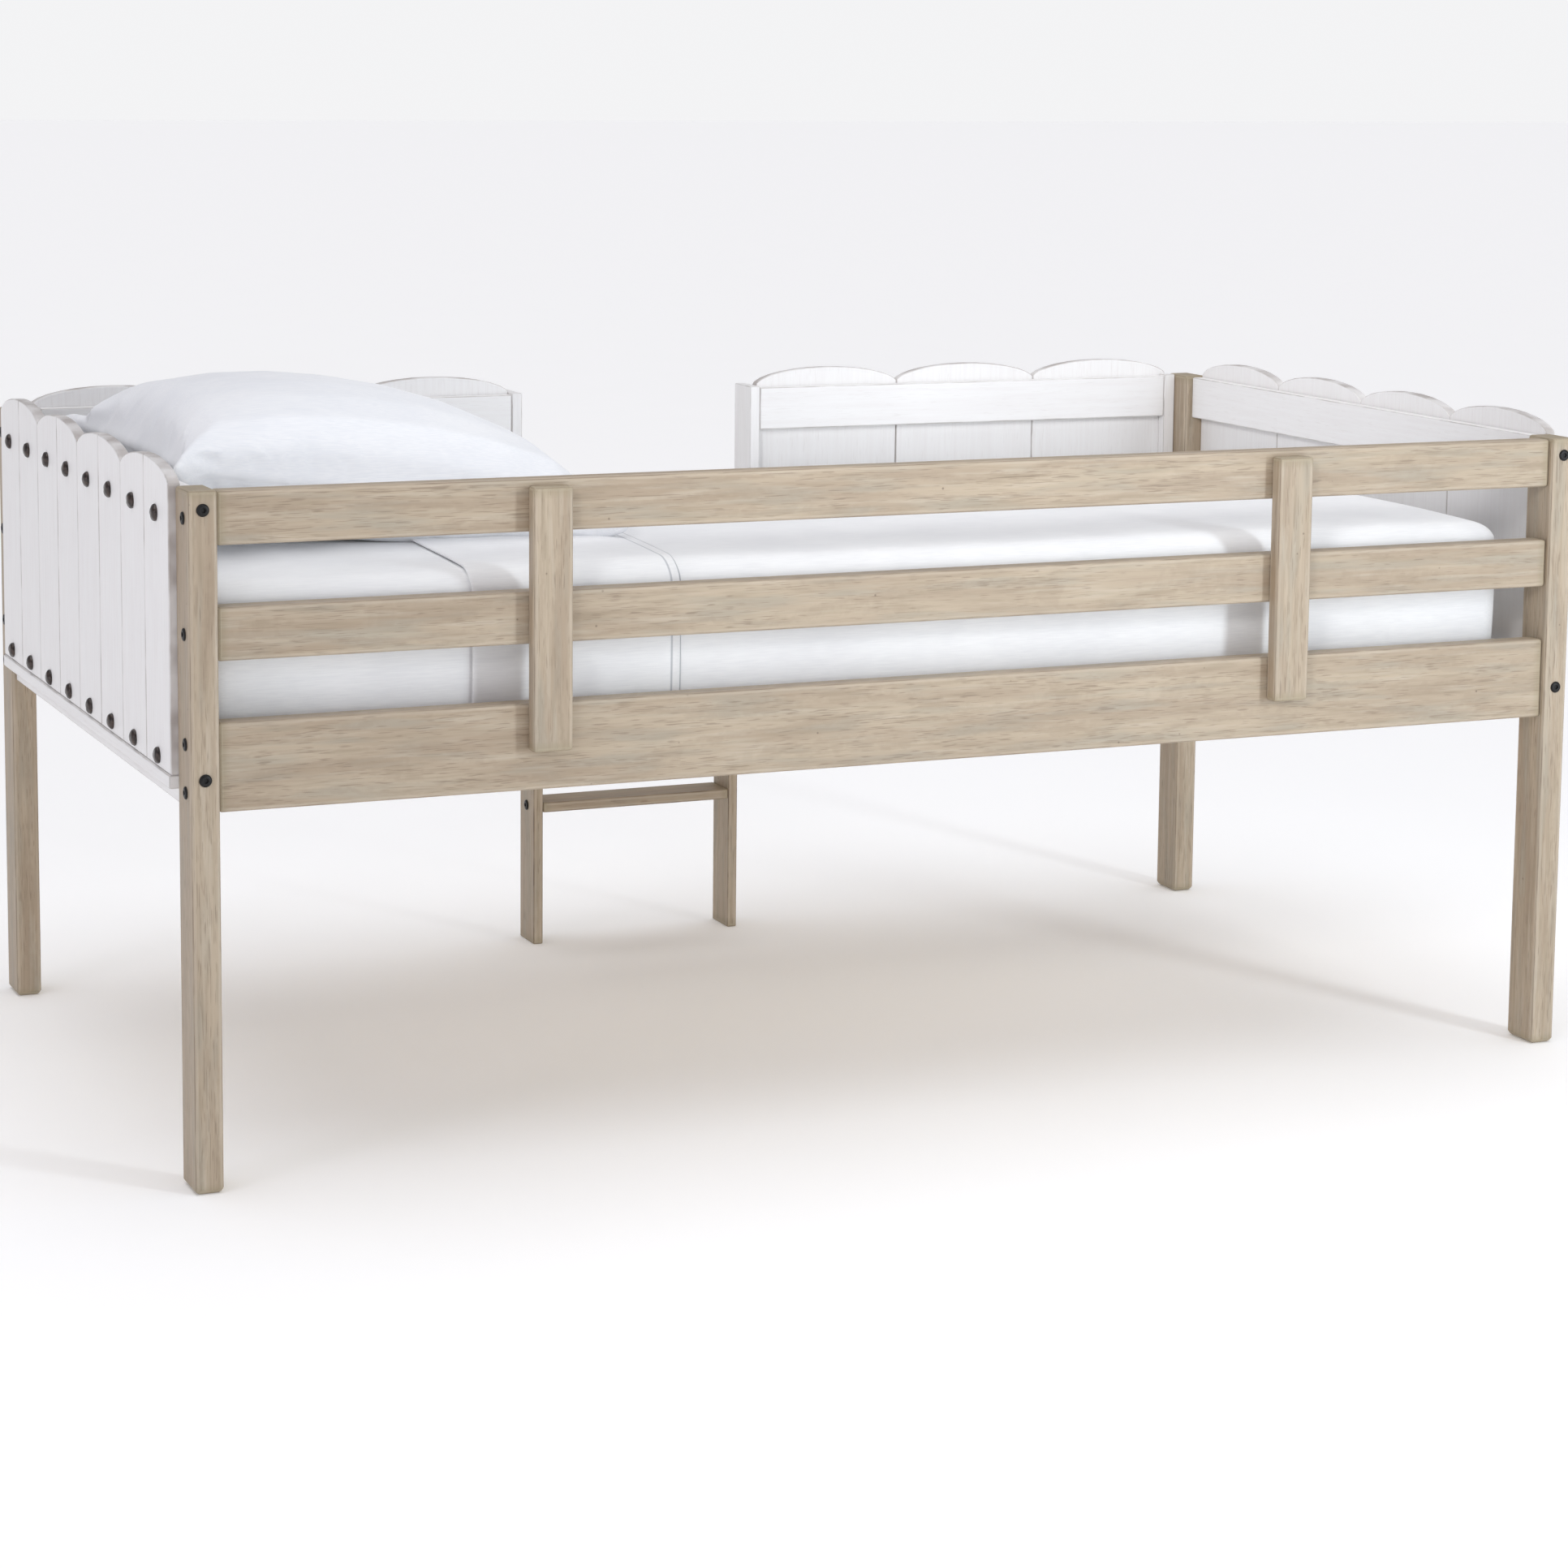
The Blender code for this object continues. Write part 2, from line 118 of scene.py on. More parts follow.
def new_material(name, roughness, ior=1.5, metallic=0.0):
    """A material with a bare Principled shader, its node tree, the shader, and the piece's coordinates."""
    material = bpy.data.materials.new(name)
    material.use_nodes = True
    tree = material.node_tree
    shader = tree.nodes["Principled BSDF"]
    shader.inputs["Roughness"].default_value = roughness
    shader.inputs["IOR"].default_value = ior
    shader.inputs["Metallic"].default_value = metallic
    return material, tree, shader, add(tree, "TexCoord").outputs["Object"]


def moved_by(tree, place, *shift):
    """Coordinates moved by a shift, so that no two pieces share a pattern."""
    return add(tree, "VectorMath", {0: place, 1: shift}, operation="ADD").outputs[0]


def grain_noise(tree, place, grain, along, across, detail):
    """Noise with features of these sizes in millimetres, long way along the grain."""
    scale = [1000 / across] * 3
    scale[AXES[grain]] = 1000 / along
    mapped = add(tree, "Mapping", {"Vector": place, "Scale": scale})
    return add(tree, "TexNoise", {"Vector": mapped.outputs[0], "Scale": 1.0, "Detail": detail}).outputs


def growth_rings(tree, place, grain, wander, bend, wave):
    """Rings about an axis along the grain, bent by a slow wander."""
    bend = add(tree, "VectorMath", {0: wander["Color"], "Scale": bend}, operation="SCALE").outputs[0]
    bent = add(tree, "VectorMath", {0: place, 1: bend}, operation="ADD").outputs[0]
    wave = {"Vector": bent, **wave}
    return add(tree, "TexWave", wave, wave_type="RINGS", rings_direction=grain.upper()).outputs["Fac"]


def arris_distances(tree, place, low, high):
    """Sockets of how far a point lies from its nearest arris, and from each pair of faces, in metres."""
    middle = [(a + b) / 2 for a, b in zip(low, high)]
    half = [(b - a) / 2 for a, b in zip(low, high)]
    offset = add(tree, "VectorMath", {0: place, 1: middle}, operation="SUBTRACT")
    size = add(tree, "VectorMath", {0: offset.outputs[0]}, operation="ABSOLUTE")
    depth = add(tree, "VectorMath", {0: half, 1: size.outputs[0]}, operation="SUBTRACT")
    faces = add(tree, "SeparateXYZ", {0: depth.outputs[0]}).outputs
    x, y, z = faces
    total = maths(tree, "ADD", maths(tree, "ADD", x, y), z)
    most = maths(tree, "MAXIMUM", maths(tree, "MAXIMUM", x, y), z)
    least = maths(tree, "MINIMUM", maths(tree, "MINIMUM", x, y), z)
    # The second nearest pair of faces says how far the arris is
    return maths(tree, "SUBTRACT", maths(tree, "SUBTRACT", total, most), least), faces


# ---------------------------------------------------------------- materials

# The share of a groove's width, and the depth in from the outer face, that a board's painted shade reaches
GROOVE_SHADED = 0.35
SHADE_DEPTH = 3 * MM


def washed_timber(name, low, high, grain, seed):
    """Rubberwood, planed, stained greige and wiped with a brown glaze under satin lacquer: a pale ground
    with slow bands, dark and pale streaks, grey clouds, faint rings, fibre, short dark pore ticks and a few
    flecks. Each arris has a painted highlight as a pale line beside it, and painted shade as a dark line
    along it, broken in stretches; glaze is pooled at both ends."""
    material, tree, shader, place = new_material(name, roughness=0.48)
    moved = moved_by(tree, place, seed * 1.7, seed * 2.9, seed * 0.83)

    def overlaid(ground, pattern, start, full, most, hex_colour):
        """Lays a colour over the ground where the pattern lies past its start."""
        return blend(tree, remap(tree, pattern, start, full, 0.0, most), ground, linear(hex_colour))

    # Slow change of tone down the board, about 300 mm long and 28 mm wide
    drift = grain_noise(tree, moved, grain, 300, 28, 2.0)["Fac"]
    ground = tone_ramp(tree, drift, (0.34, "#A6947E"), (0.5, "#AF9E88"), (0.66, "#B7A791"))
    # Soft streaks where the glaze was wiped thin or left: dark ones 90 x 6 mm, pale ones 120 x 8.5 mm
    dark = grain_noise(tree, moved, grain, 90, 6, 3.0)["Fac"]
    ground = overlaid(ground, dark, 0.50, 0.72, 0.42, "#94866F")
    pale = grain_noise(tree, moved, grain, 120, 8.5, 2.0)["Fac"]
    ground = overlaid(ground, pale, 0.52, 0.74, 0.45, "#C3B8A6")
    # Clouds of grey wash, 170 mm long and 20 mm wide
    cloud = grain_noise(tree, moved, grain, 170, 20, 2.0)["Fac"]
    ground = overlaid(ground, cloud, 0.50, 0.66, 0.50, "#9F9889")
    # Growth rings, about 9 mm apart and faint, wandering into soft pointed arches
    wander = grain_noise(tree, moved, grain, 420, 60, 1.0)
    wave = {"Scale": 35.0, "Distortion": 2.4, "Detail": 3.0, "Detail Scale": 2.0}
    rings = growth_rings(tree, moved, grain, wander, 0.045, wave)
    ground = overlaid(ground, rings, 0.35, 0.0, 0.16, "#8A7762")
    # Fibre: streaks 60 x 2 mm. Pores: ticks 26 mm long, 0.3 mm wide, drawn 1.2 mm wide so that they show
    fibre = grain_noise(tree, moved, grain, 60, 2.0, 2.0)["Fac"]
    ground = overlaid(ground, fibre, 0.50, 0.76, 0.26, "#8B7A66")
    pores = grain_noise(tree, moved, grain, 26, 1.2, 0.0)["Fac"]
    crowd = grain_noise(tree, moved, grain, 110, 16, 1.0)["Fac"]
    reach = maths(tree, "MULTIPLY_ADD", crowd, -0.34, 0.82)
    ticks = remap(tree, maths(tree, "SUBTRACT", pores, reach), 0.0, 0.10)
    ground = overlaid(ground, ticks, 0.0, 1.0, 0.42, "#6E5C4A")
    # Flecks of glaze, 2 mm across with a soft edge, where a point of a 45 mm scatter lies at the surface
    flecks = add(tree, "TexVoronoi", {"Vector": moved, "Scale": 22.0, "Randomness": 1.0})
    ground = overlaid(ground, flecks.outputs["Distance"], 0.045, 0.020, 0.65, "#5F4F41")
    # Painted highlight as a pale line beside each arris, and painted shade as a dark line 2 mm wide along
    # it, broken in stretches; glaze pooled at the ends
    arris, faces = arris_distances(tree, place, low, high)
    broken = add(tree, "TexNoise", {"Vector": moved, "Scale": 16.0, "Detail": 3.0}).outputs["Fac"]
    shade_share = remap(tree, broken, 0.40, 0.58, 0.30, 0.95)
    ground = overlaid(ground, arris, 6 * MM, 4 * MM, 0.35, "#C9BCA9")
    edge = remap(tree, arris, 1.0 * MM, 2.4 * MM, 1.0, 0.0)
    ground = overlaid(ground, maths(tree, "MULTIPLY", edge, shade_share), 0.0, 1.0, 0.85, "#6C5949")
    ground = overlaid(ground, faces[AXES[grain]], 15 * MM, 4 * MM, 0.42, "#92876A")
    tree.links.new(ground, shader.inputs["Base Color"])
    tree.links.new(remap(tree, drift, 0.3, 0.7, 0.42, 0.58), shader.inputs["Roughness"])
    relief(tree, shader, maths(tree, "MULTIPLY", ticks, -1.0), 0.25, 0.3 * MM)
    return material


def board_edges(tree, place, low, high, across, faces):
    """How far a point of a scalloped board lies from where its painted shade lies: its sides, its foot, the
    arch of its top, and the groove down its outer face."""
    middle = (low[across] + high[across]) / 2
    half = (high[across] - low[across]) / 2
    parts = add(tree, "SeparateXYZ", {0: place}).outputs
    aside = maths(tree, "SUBTRACT", parts[across], middle)
    # How far a point lies below the arch
    turn = maths(tree, "MULTIPLY", aside, SCALLOP_FULLNESS / half)
    arch = maths(tree, "SQRT", maths(tree, "SUBTRACT", 1.0, maths(tree, "MULTIPLY", turn, turn)))
    foot = math.sqrt(1 - SCALLOP_FULLNESS**2)
    rise = SCALLOP_RISE / (1 - foot)
    top = maths(tree, "MULTIPLY_ADD", arch, rise, high[2] - rise)
    below = maths(tree, "SUBTRACT", top, parts[2])
    # The groove is cut in the outer face only
    groove = maths(tree, "ADD", maths(tree, "ABSOLUTE", aside), -GROOVE_WIDTH * GROOVE_SHADED)
    through = 1 - across
    outward = 1 if low[through] + high[through] > 0 else -1
    outer_face = high[through] if outward > 0 else low[through]
    inward = maths(tree, "MULTIPLY_ADD", parts[through], -outward, outward * outer_face - SHADE_DEPTH)
    nearest = maths(tree, "MAXIMUM", groove, inward)
    for other in (faces[across], below, maths(tree, "SUBTRACT", parts[2], low[2])):
        nearest = maths(tree, "MINIMUM", nearest, other)
    return nearest


def painted_timber(name, low, high, grain, seed, board=None):
    """Poplar under white eggshell paint laid off with a brush: faint ridges along the grain, grey ticks of
    open grain, and grey-brown painted shade along arrises, grooves and joints."""
    material, tree, shader, place = new_material(name, roughness=0.42)
    moved = moved_by(tree, place, seed * 1.3, seed * 0.7, seed * 2.1)
    # Grain telegraphing through the paint, in streaks 120 mm long and 5 mm wide
    streaks = grain_noise(tree, moved, grain, 120, 5, 3.0)["Fac"]
    ground = tone_ramp(tree, streaks, (0.30, "#EEECEB"), (0.62, "#F1F0EF"))
    # Open grain: grey ticks 26 mm long, drawn 1.6 mm wide so that they show
    pores = grain_noise(tree, moved, grain, 26, 1.6, 1.0)["Fac"]
    ticks = remap(tree, pores, 0.62, 0.76, 0.0, 0.14)
    ground = blend(tree, ticks, ground, linear("#BDB5AE"))
    # Grey-brown painted shade 2 mm wide, fainter in patches: along the arrises, and on a board along its
    # sides, foot, arch and groove instead
    arris, faces = arris_distances(tree, place, low, high)
    shade_patches = add(tree, "TexNoise", {"Vector": moved, "Scale": 20.0, "Detail": 2.0}).outputs["Fac"]
    shade_share = remap(tree, shade_patches, 0.40, 0.60, 0.25, 0.7)
    line = board_edges(tree, place, low, high, AXES[board], faces) if board else arris
    edge = remap(tree, line, 0.6 * MM, 2.0 * MM, 1.0, 0.0)
    ground = blend(tree, maths(tree, "MULTIPLY", edge, shade_share), ground, linear("#9A8F88"))
    tree.links.new(ground, shader.inputs["Base Color"])
    # Brush ridges 2.5 mm apart
    ridges = grain_noise(tree, moved, grain, 200, 2.5, 2.0)["Fac"]
    relief(tree, shader, maths(tree, "SUBTRACT", ridges, ticks), 0.08, 0.3 * MM)
    tree.links.new(remap(tree, streaks, 0.3, 0.7, 0.50, 0.36), shader.inputs["Roughness"])
    return material


def planed_pine(name, grain, seed):
    """Pine, planed and left bare: straw-yellow with tan rings 5 mm apart and a dry, dull face."""
    material, tree, shader, place = new_material(name, roughness=0.62)
    moved = moved_by(tree, place, seed * 0.9, seed * 1.9, seed * 1.1)
    wander = grain_noise(tree, moved, grain, 400, 40, 2.0)
    wave = {"Scale": 62.0, "Distortion": 1.2, "Detail": 2.0}
    rings = growth_rings(tree, moved, grain, wander, 0.03, wave)
    tone = tone_ramp(tree, rings, (0.10, "#C7A473"), (0.55, "#E0C79C"))
    tree.links.new(tone, shader.inputs["Base Color"])
    relief(tree, shader, grain_noise(tree, moved, grain, 60, 1.5, 2.0)["Fac"], 0.3, 0.3 * MM)
    return material


def percale_cotton(name, hex_colour, shade_hex, hem_x=None):
    """Bleached cotton percale, plain woven and lightly ironed: matt white with a soft sheen at the edge of
    each fold. Threads 0.25 mm apart are drawn 1.2 mm apart so that the weave shows."""
    material, tree, shader, place = new_material(name, roughness=0.85, ior=1.45)
    shader.inputs["Sheen Weight"].default_value = 0.25
    shader.inputs["Sheen Roughness"].default_value = 0.5
    # Slubs: faint threads 30 mm long, with a slow clouding 90 mm across where it was ironed
    cloud = add(tree, "TexNoise", {"Vector": place, "Scale": 11.0, "Detail": 3.0}).outputs["Fac"]
    slubs = grain_noise(tree, place, "x", 30, 1.5, 1.0)["Fac"]
    share = remap(tree, maths(tree, "ADD", cloud, slubs), 0.75, 1.25)
    ground = blend(tree, share, linear(shade_hex), linear(hex_colour))
    if hem_x is not None:
        # A row of stitches inside the hem, drawn grey as painted shade in their sunk line, and painted shade
        # under the hem's edge, both drawn 3 mm wide so that they show
        along = add(tree, "SeparateXYZ", {0: place}).outputs[0]
        for line_x in (hem_x - HEM_STITCH, hem_x):
            near = maths(tree, "ABSOLUTE", maths(tree, "SUBTRACT", along, line_x))
            line = remap(tree, near, 0.9 * MM, 1.9 * MM, 0.7, 0.0)
            ground = blend(tree, line, ground, linear("#A9ACB3"))
    tree.links.new(ground, shader.inputs["Base Color"])
    threads = [
        add(tree, "TexWave", {"Vector": place, "Scale": 262.0}, bands_direction=axis).outputs["Fac"]
        for axis in "XYZ"
    ]
    weave = maths(tree, "ADD", maths(tree, "ADD", threads[0], threads[1]), threads[2])
    fine = add(tree, "Bump", {"Height": weave, "Strength": 0.08, "Distance": 0.1 * MM}).outputs[0]
    # Crumple: soft creases 45 mm apart, under half a millimetre deep
    crumple = {"Vector": place, "Scale": 22.0, "Detail": 3.0, "Distortion": 0.6}
    crumple = add(tree, "TexNoise", crumple).outputs["Fac"]
    soft = {"Height": crumple, "Strength": 0.25, "Distance": 3.0 * MM, "Normal": fine}
    tree.links.new(add(tree, "Bump", soft).outputs[0], shader.inputs["Normal"])
    return material


def antique_bronze():
    """Steel upholstery nails, hammered, plated and lacquered antique bronze: near-black brown with paler
    rubbed highs, and a sharp highlight from the lacquer."""
    material, tree, shader, place = new_material("antique_bronze_nails", roughness=0.42, metallic=0.55)
    shader.inputs["Coat Weight"].default_value = 0.6
    shader.inputs["Coat Roughness"].default_value = 0.16
    dents = add(tree, "TexNoise", {"Vector": place, "Scale": 220.0, "Detail": 2.0}).outputs["Fac"]
    tone = tone_ramp(tree, dents, (0.35, "#1C1412"), (0.75, "#4C3C34"))
    tree.links.new(tone, shader.inputs["Base Color"])
    relief(tree, shader, dents, 0.35, 0.5 * MM)
    return material


def black_oxide():
    """Steel bolts, turned and black oxided: near black, between satin and dull."""
    material, tree, shader, place = new_material("black_oxide_bolts", roughness=0.45, metallic=0.5)
    grit = add(tree, "TexNoise", {"Vector": place, "Scale": 700.0, "Detail": 1.0}).outputs["Fac"]
    tone = tone_ramp(tree, grit, (0.3, "#0F0F0F"), (0.8, "#2A2929"))
    tree.links.new(tone, shader.inputs["Base Color"])
    tree.links.new(remap(tree, grit, 0.3, 0.7, 0.35, 0.5), shader.inputs["Roughness"])
    return material


def zinc_plate():
    """Steel wood screws, zinc plated: pale bluish metal, a little mottled."""
    material, tree, shader, place = new_material("zinc_plated_screws", roughness=0.35, metallic=1.0)
    mottle = add(tree, "TexNoise", {"Vector": place, "Scale": 400.0, "Detail": 2.0}).outputs["Fac"]
    tone = tone_ramp(tree, mottle, (0.3, "#9EA1A5"), (0.7, "#C9CBCE"))
    tree.links.new(tone, shader.inputs["Base Color"])
    return material


def studio_paper():
    """Matt white background paper with the faintest tooth. It glows a little, which keeps the floor white,
    too weakly to be worth sampling as a lamp."""
    material, tree, shader, place = new_material("white_background_paper", roughness=0.9)
    shader.inputs["Emission Color"].default_value = linear("#FFFFFF")
    shader.inputs["Emission Strength"].default_value = 0.13
    material.cycles.emission_sampling = "NONE"
    tooth = add(tree, "TexNoise", {"Vector": place, "Scale": 3.0, "Detail": 2.0}).outputs["Fac"]
    tone = blend(tree, tooth, linear("#FAFAFA"), linear("#FCFCFC"))
    tree.links.new(tone, shader.inputs["Base Color"])
    return material


def quilted_ticking():
    """Polyester knit ticking, quilted to foam: off-white and matt, with shallow diamond quilting 60 mm
    wide."""
    material, tree, shader, place = new_material("quilted_knit_ticking", roughness=0.9, ior=1.45)
    lines = []
    for turn in (45, -45):
        turned = add(tree, "Mapping", {"Vector": place, "Rotation": (0, 0, math.radians(turn))})
        band = add(tree, "TexWave", {"Vector": turned.outputs[0], "Scale": 5.2}, bands_direction="X")
        lines.append(remap(tree, band.outputs["Fac"], 0.0, 0.25))
    puff = maths(tree, "MINIMUM", lines[0], lines[1])
    # Painted shade: the quilting's sunk lines are drawn darker than the puffs between them
    tone = blend(tree, puff, linear("#CFCBC4"), linear("#ECE9E3"))
    tree.links.new(tone, shader.inputs["Base Color"])
    relief(tree, shader, puff, 0.6, 3 * MM)
    return material


# ---------------------------------------------------------------- making and placing pieces

# Turned heads: how far the rim reaches into the face under it, facets round it, steps up a dome, and the
# spacing of hammer dents per metre
RIM_SUNK = 0.2 * MM
FACETS = 24
DOME_STEPS = 7
DENT_SCALE = 160

# Nails: upright rim, the top row under the top rail's middle, the bottom row over the boards' foot, how far
# a nail may stray from its place, and how deep its dents are as a share of its size
NAIL_RIM = 0.8 * MM
NAIL_DROP = 3 * MM
NAIL_RISE = 15 * MM
NAIL_STRAY = 1.6 * MM
NAIL_DENTS = 0.10

# Bolts: those over the side rail's underside, at its end and at the panel's foot, the one under a post's
# top, and how far the ladder's bolts lie inside the side rail's edges
RAIL_BOLTS = (85 * MM, 25 * MM)
PANEL_BOLT = 43 * MM
POST_TOP_BOLT = 24 * MM
LADDER_BOLT = 26 * MM

# Screws: their shares of a rail's height behind an upright, how far inside a slat's ends, how far under its
# face, and how many in a cleat
UPRIGHT_SCREWS = (0.28, 0.72)
SLAT_SCREW_INSET = 13 * MM
SLAT_SCREW_SUNK = 1.3 * MM
SLATS = 12
CLEAT_SCREWS = 8


def show(name, shape, material, body):
    """A new piece from a bmesh, shaded smooth, riding on a body."""
    mesh = bpy.data.meshes.new(name)
    shape.to_mesh(mesh)
    shape.free()
    mesh.materials.append(material)
    mesh.polygons.foreach_set("use_smooth", [True] * len(mesh.polygons))
    obj = bpy.data.objects.new(name, mesh)
    bpy.context.scene.collection.objects.link(obj)
    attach(obj, body)
    return obj


def turned_form(shape, profile, at, facing, dents=0.0):
    """A lathe-turned form standing on a face. Each row of the profile is a radius, a height and whether it
    is a hexagon's; the last row is closed with one face."""
    spin = Vector(facing).to_track_quat("Z", "Y").to_matrix()
    rows = []
    for radius, height, six_sided in profile:
        row = []
        for step in range(FACETS):
            angle = 2 * math.pi * step / FACETS
            reach = radius
            if six_sided:
                reach /= math.cos((angle % (math.pi / 3)) - math.pi / 6)
            spot = Vector((reach * math.cos(angle), reach * math.sin(angle), height))
            if dents and height > 0:
                spot *= 1 + dents * noise.noise((spot + Vector(at)) * DENT_SCALE)
            row.append(shape.verts.new(Vector(at) + spin @ spot))
        rows.append(row)
    for lower, upper in zip(rows, rows[1:]):
        for step in range(FACETS):
            after = (step + 1) % FACETS
            shape.faces.new((lower[step], lower[after], upper[after], upper[step]))
    shape.faces.new(rows[-1])
    shape.faces.new(rows[0][::-1])


def dome(diameter, height):
    """Profile of a domed nail head with a short upright rim."""
    radius = diameter / 2
    rows = [(radius * 0.97, -RIM_SUNK, False), (radius, NAIL_RIM, False)]
    for step in range(1, DOME_STEPS):
        angle = math.radians(90) * step / DOME_STEPS
        rise = NAIL_RIM + (height - NAIL_RIM) * math.sin(angle)
        rows.append((radius * math.cos(angle), rise, False))
    return rows


def socket_head(diameter, height, across_flats):
    """Profile of a low domed bolt head with a hexagon socket."""
    radius, flat = diameter / 2, across_flats / 2
    return [
        (radius, -RIM_SUNK, False),
        (radius, height * 0.35, False),
        (radius * 0.93, height * 0.75, False),
        (radius * 0.70, height, False),
        (flat * 1.35, height * 1.04, False),
        (flat, height * 0.98, True),
        (flat, 0.3 * MM, True),
    ]


def pan_head(diameter, height):
    """Profile of a small screw head with a hexagon recess."""
    radius = diameter / 2
    return [
        (radius, -RIM_SUNK, False),
        (radius * 0.95, height * 0.6, False),
        (radius * 0.60, height, False),
        (radius * 0.36, height, True),
        (radius * 0.34, height * 0.3, True),
    ]


NAIL = dome(21.5 * MM, 7 * MM)
BOLT = socket_head(16 * MM, 2.6 * MM, 6 * MM)
SCREW = pan_head(8.5 * MM, 1.4 * MM)


def fasteners(name, profile, places, material, dents=0.0):
    """One piece holding every fastener of a group, each at a point and facing a way."""
    shape = bmesh.new()
    for at, facing in places:
        turned_form(shape, profile, at, facing, dents=dents)
    obj = show(name, shape, material, "bed_frame")
    obj.data.set_sharp_from_angle(angle=math.radians(50))


def middle_of(node):
    low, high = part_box(node)
    return (low + high) / 2


def nails():
    """Two rows of nails on the outer face of every board, one nail at the middle of each half board."""
    bronze = antique_bronze()
    groups = {"head": ("y", 4), "foot": ("y", 4), "back_head": ("x", 3), "back_foot": ("x", 3)}
    for panel, (run, count) in groups.items():
        row_z = middle_of(f"{panel}_top_rail").z - NAIL_DROP
        places = []
        for number in range(1, count + 1):
            low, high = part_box(f"{panel}_board_{number}")
            across = AXES[run]
            for share in (0.25, 0.75):
                spot = (low + high) / 2
                spot[across] = low[across] + share * (high[across] - low[across])
                if run == "x":
                    spot.y, facing = high.y, Vector((0, 1, 0))
                elif spot.x < 0:
                    spot.x, facing = low.x, Vector((-1, 0, 0))
                else:
                    spot.x, facing = high.x, Vector((1, 0, 0))
                for level in (row_z, low.z + NAIL_RISE):
                    draw = spot * 37 + Vector((0, 0, level * 91))
                    stray = noise.noise_vector(draw) * NAIL_STRAY
                    stray -= stray.dot(facing) * facing
                    places.append((Vector((spot.x, spot.y, level)) + stray, facing))
        fasteners(f"{panel}_panel_nails", NAIL, places, bronze, dents=NAIL_DENTS)


def bolts():
    """Socket bolts through the posts into the rails and panels, and through the ladder's stiles."""
    black = black_oxide()
    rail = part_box("front_side_rail")
    rail_levels = [
        middle_of("front_guard_rail_top").z,
        middle_of("front_guard_rail_middle").z,
        *(rail[0].z + up for up in RAIL_BOLTS),
    ]
    for side, outward in (("front", -1), ("back", 1)):
        rail_y = middle_of(f"{side}_side_rail").y
        for end, away in (("head", -1), ("foot", 1)):
            low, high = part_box(f"post_{side}_{end}")
            face_y = high.y if outward > 0 else low.y
            face_x = high.x if away > 0 else low.x
            middle_x = (low.x + high.x) / 2
            across = [high.z - POST_TOP_BOLT, rail[0].z + PANEL_BOLT]
            places = [(Vector((middle_x, face_y, z)), (0, outward, 0)) for z in across]
            places += [(Vector((face_x, rail_y, z)), (away, 0, 0)) for z in rail_levels]
            fasteners(f"bolts_post_{side}_{end}", BOLT, places, black)
    for end, away in (("head", -1), ("foot", 1)):
        low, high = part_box(f"ladder_stile_{end}")
        face_x = high.x if away > 0 else low.x
        places = []
        for number in (1, 2):
            tread = middle_of(f"ladder_tread_{number}")
            places.append((Vector((face_x, tread.y, tread.z)), (away, 0, 0)))
        for level in (rail[0].z + LADDER_BOLT, rail[1].z - LADDER_BOLT):
            places.append((Vector(((low.x + high.x) / 2, high.y, level)), (0, 1, 0)))
        fasteners(f"bolts_ladder_{end}", BOLT, places, black)


def screws():
    """Screws that can't be seen from in front: in the uprights from behind, in the slats from above, and in
    the cleats from inside."""
    zinc = zinc_plate()
    places = []
    for end in ("head", "foot"):
        x = middle_of(f"front_upright_{end}").x
        for node in ("front_guard_rail_top", "front_guard_rail_middle", "front_side_rail"):
            low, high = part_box(node)
            for share in UPRIGHT_SCREWS:
                places.append((Vector((x, high.y, low.z + share * (high.z - low.z))), (0, 1, 0)))
    fasteners("screws_uprights", SCREW, places, zinc)
    places = []
    for number in range(1, SLATS + 1):
        low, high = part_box(f"base_slat_{number:02d}")
        for y in (low.y + SLAT_SCREW_INSET, high.y - SLAT_SCREW_INSET):
            places.append((Vector(((low.x + high.x) / 2, y, high.z - SLAT_SCREW_SUNK)), (0, 0, 1)))
    fasteners("screws_slats", SCREW, places, zinc)
    places = []
    for node, facing in (("front_cleat", 1), ("back_cleat", -1)):
        low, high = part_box(node)
        face = high.y if facing > 0 else low.y
        for step in range(CLEAT_SCREWS):
            x = low.x + (high.x - low.x) * (step + 0.5) / CLEAT_SCREWS
            places.append((Vector((x, face, (low.z + high.z) / 2)), (0, facing, 0)))
    fasteners("screws_cleats", SCREW, places, zinc)


def finish_timber():
    """Every CAD timber gets a finish chosen by its name, with the grain along its longest side."""
    for number, name in enumerate(sorted(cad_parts)):
        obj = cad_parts[name]
        if name in ("mattress", "pillow"):
            continue
        low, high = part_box(name)
        sides = list(high - low)
        grain = "xyz"[sides.index(max(sides))]
        if name.startswith(("post", "front_side", "back_side", "front_guard", "front_upright", "ladder")):
            material = washed_timber(f"greige_washed_rubberwood.{name}", low, high, grain, number)
        elif "slat" in name or "cleat" in name:
            material = planed_pine(f"planed_pine.{name}", grain, number)
        else:
            board = None
            if "board" in name:
                board = "x" if name.startswith("back") else "y"
            material = painted_timber(f"brushed_white_paint.{name}", low, high, grain, number, board)
        obj.data.materials.clear()
        obj.data.materials.append(material)


# ---------------------------------------------------------------- bedding

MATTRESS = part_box("mattress")
MATTRESS_MIDDLE = (MATTRESS[0] + MATTRESS[1]) / 2
MATTRESS_HALF = (MATTRESS[1] - MATTRESS[0]) / 2

# The made-up bed: its rounded edges, how far its top falls to them, how full its sides are, and how deep the
# slow dips go
EDGE_ROUND = 38 * MM
CROWN = 14 * MM
FLANK_FULLNESS = 3 * MM
DIP_DEPTH = 2.2 * MM

